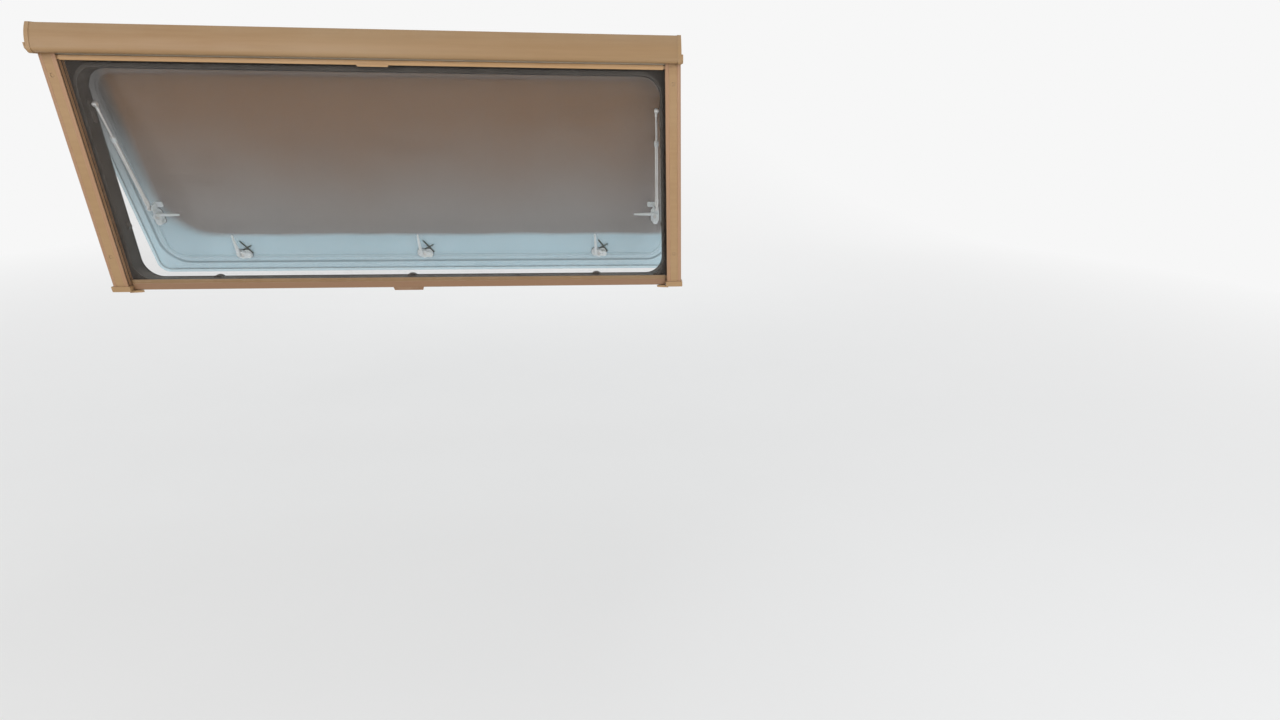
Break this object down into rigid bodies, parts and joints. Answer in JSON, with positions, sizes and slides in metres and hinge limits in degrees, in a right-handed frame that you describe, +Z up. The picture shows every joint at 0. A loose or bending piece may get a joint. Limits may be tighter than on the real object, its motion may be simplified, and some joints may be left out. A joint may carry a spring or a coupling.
{
  "type": "top-hung side window of a motorhome with a cassette blind and flyscreen",
  "caption": "Top-hung double acrylic side window of a motorhome, ajar on telescopic stays, with a cassette blind and a lowered flyscreen in side rails.",
  "frame": {"origin": "centre of the four screws through the side rails, on the wall's inner face", "axes": "+X along the wall, -Y into the room, +Y out of the vehicle, +Z up"},
  "size_m": [1.49, 0.2543, 0.625],
  "materials": {
    "aged_plastic": "satin aged cream plastic",
    "frame_plastic": "matt dark grey foam plastic",
    "catch_plastic": "milky white plastic",
    "keeper_plastic": "dark brown-grey plastic",
    "acrylic_outer": "smoked acrylic sheet",
    "acrylic_inner": "clear formed acrylic sheet",
    "seal_rubber": "soft black rubber",
    "aluminium": "anodised aluminium",
    "stay_metal": "satin aluminium tube",
    "mesh": "grey flyscreen mesh",
    "blackout": "coated blackout fabric",
    "roller_metal": "mill-finish aluminium tube"
  },
  "bodies": {
    "frame": {"blackout_fabric": "blackout", "blind_cassette": "aged_plastic", "bottom_rail": "aged_plastic", "cassette_end_left": "aged_plastic", "cassette_end_right": "aged_plastic", "clamp_ring": "frame_plastic", "hinge_cap_left": "keeper_plastic", "hinge_cap_right": "keeper_plastic", "hinge_rail": "aluminium", "keeper_left": "keeper_plastic", "keeper_low_left": "keeper_plastic", "keeper_low_mid": "keeper_plastic", "keeper_low_right": "keeper_plastic", "keeper_right": "keeper_plastic", "outer_frame": "frame_plastic", "rail_foot_left": "aged_plastic", "rail_foot_right": "aged_plastic", "screen_fabric": "mesh", "side_rail_left": "aged_plastic", "side_rail_right": "aged_plastic", "stay_anchor_left": "keeper_plastic", "stay_anchor_right": "keeper_plastic", "weather_seal": "seal_rubber"},
    "pane": {"catch_base_left": "catch_plastic", "catch_base_low_left": "catch_plastic", "catch_base_low_mid": "catch_plastic", "catch_base_low_right": "catch_plastic", "catch_base_right": "catch_plastic", "catch_lever_left": "catch_plastic", "catch_lever_low_left": "catch_plastic", "catch_lever_low_mid": "catch_plastic", "catch_lever_low_right": "catch_plastic", "catch_lever_right": "catch_plastic", "hinge_leaf": "aluminium", "inner_sheet": "acrylic_inner", "outer_sheet": "acrylic_outer", "stay_ear_left": "catch_plastic", "stay_ear_right": "catch_plastic"},
    "stay_tube_left": {"stay_tube_left": "stay_metal"},
    "stay_tube_right": {"stay_tube_right": "stay_metal"},
    "stay_rod_left": {"stay_rod_left": "stay_metal"},
    "stay_rod_right": {"stay_rod_right": "stay_metal"},
    "blackout_bar": {"blackout_bar": "aged_plastic"},
    "screen_bar": {"screen_bar": "aged_plastic"},
    "blackout_roller": {"blackout_roller": "roller_metal"},
    "screen_roller": {"screen_roller": "roller_metal"}
  },
  "joints": [
    {"name": "pane_hinge", "type": "hinge", "parent": "frame", "child": "pane", "pos_m": [0, 0.05, 0.274], "axis": [1, 0, 0], "range_deg": [-14, 31]},
    {"name": "stay_tilt_left", "type": "hinge", "parent": "pane", "child": "stay_tube_left", "pos_m": [-0.679, 0.12009, -0.11046], "axis": [1, 0, 0], "range_deg": [-5.44, 10.83]},
    {"name": "stay_reach_left", "type": "slide", "parent": "stay_tube_left", "child": "stay_rod_left", "axis": [0, -0.34, 0.9404], "range_m": [-0.02005, 0.04378]},
    {"name": "stay_tilt_right", "type": "hinge", "parent": "pane", "child": "stay_tube_right", "pos_m": [0.679, 0.12009, -0.11046], "axis": [1, 0, 0], "range_deg": [-5.44, 10.83]},
    {"name": "stay_reach_right", "type": "slide", "parent": "stay_tube_right", "child": "stay_rod_right", "axis": [0, -0.34, 0.9404], "range_m": [-0.02005, 0.04378]},
    {"name": "blackout_slide", "type": "slide", "parent": "frame", "child": "blackout_bar", "axis": [0, 0, -1], "range_m": [0, 0.52], "deforming": ["blackout_fabric"]},
    {"name": "screen_slide", "type": "slide", "parent": "frame", "child": "screen_bar", "axis": [0, 0, 1], "range_m": [0, 0.51], "deforming": ["screen_fabric"]},
    {"name": "blackout_roller_turn", "type": "hinge", "parent": "frame", "child": "blackout_roller", "pos_m": [0, -0.033, 0.28], "axis": [1, 0, 0], "range_deg": [-2488, 5]},
    {"name": "screen_roller_turn", "type": "hinge", "parent": "frame", "child": "screen_roller", "pos_m": [0, -0.018, 0.302], "axis": [1, 0, 0], "range_deg": [-5, 3252]}
  ],
  "couplings": [
    {"joint": "stay_tilt_left", "follows": "pane_hinge", "ratio": 0.317},
    {"joint": "stay_reach_left", "follows": "pane_hinge", "m_per_rad": 0.08},
    {"joint": "stay_tilt_right", "follows": "pane_hinge", "ratio": 0.317},
    {"joint": "stay_reach_right", "follows": "pane_hinge", "m_per_rad": 0.08},
    {"joint": "blackout_roller_turn", "follows": "blackout_slide", "rad_per_m": -83.333},
    {"joint": "screen_roller_turn", "follows": "screen_slide", "rad_per_m": 111.11}
  ]
}
